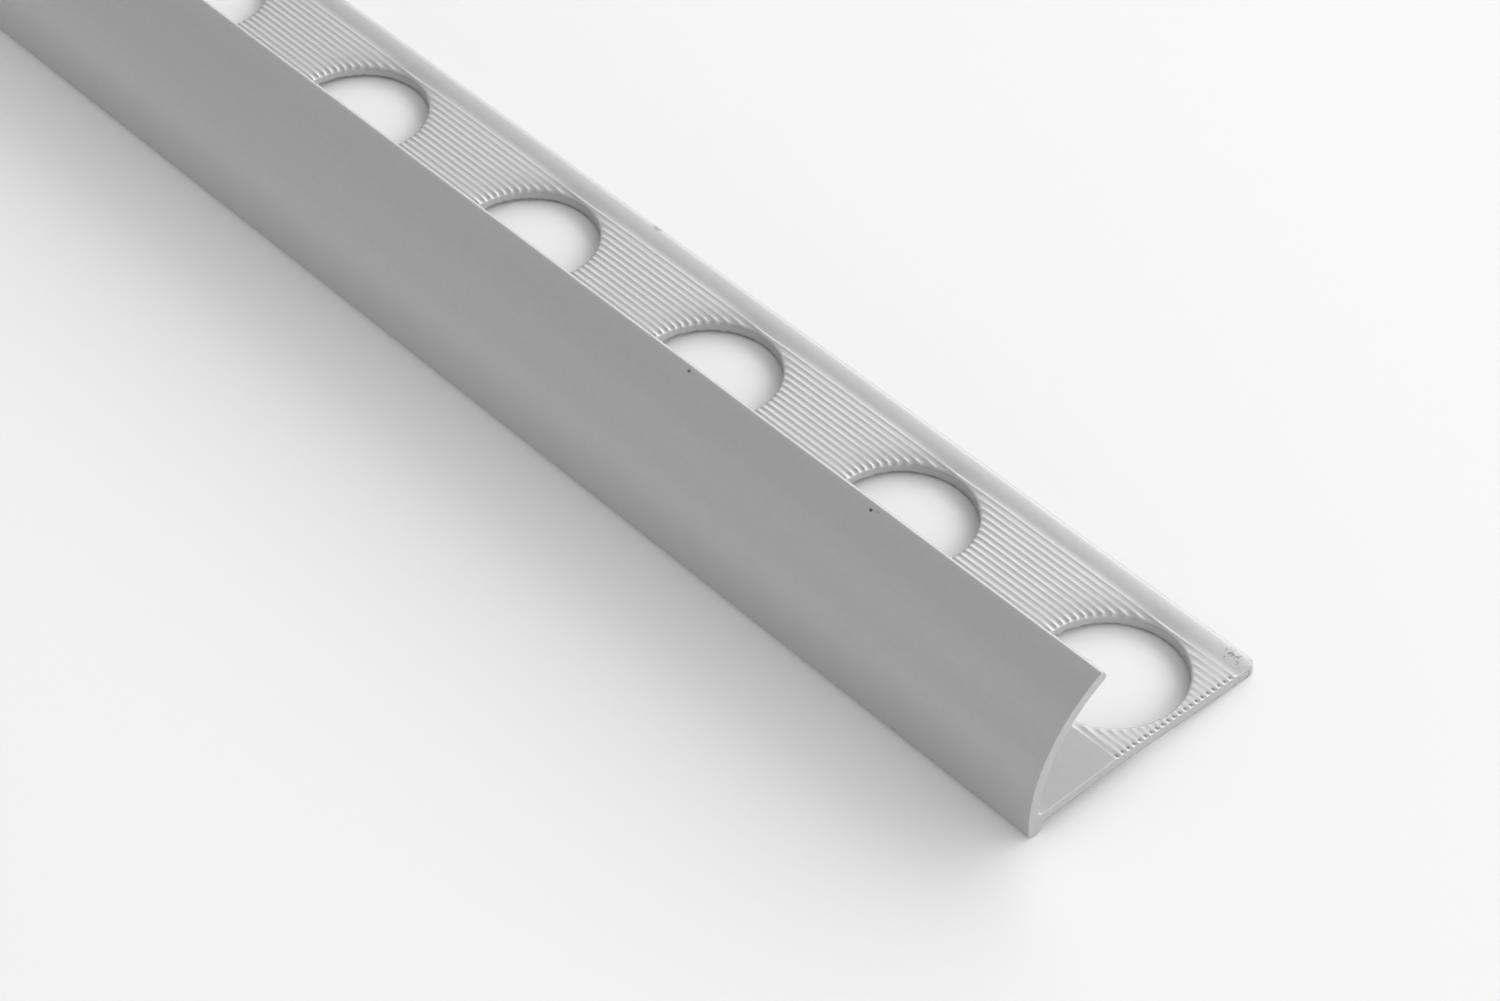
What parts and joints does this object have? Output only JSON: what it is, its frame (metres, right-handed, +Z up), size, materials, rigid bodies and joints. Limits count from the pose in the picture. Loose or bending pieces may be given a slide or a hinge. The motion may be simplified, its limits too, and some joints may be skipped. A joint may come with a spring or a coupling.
{
  "type": "tile edging trim profile",
  "caption": "Rounded aluminium edge trim for tiles, with a curved face and a ribbed, perforated leg that is bedded in adhesive.",
  "frame": {"origin": "middle of the length and of the width, on the floor that the profile lies on", "axes": "+X along the length, to the cut end that the picture shows; +Y across, from the rounded face to the leg's back edge; +Z up, from the leg to the tip of the face"},
  "size_m": [1, 0.024, 0.0125],
  "materials": {
    "satin_aluminium": "satin"
  },
  "bodies": {
    "root": {"trim_profile": "satin_aluminium"}
  },
  "joints": []
}
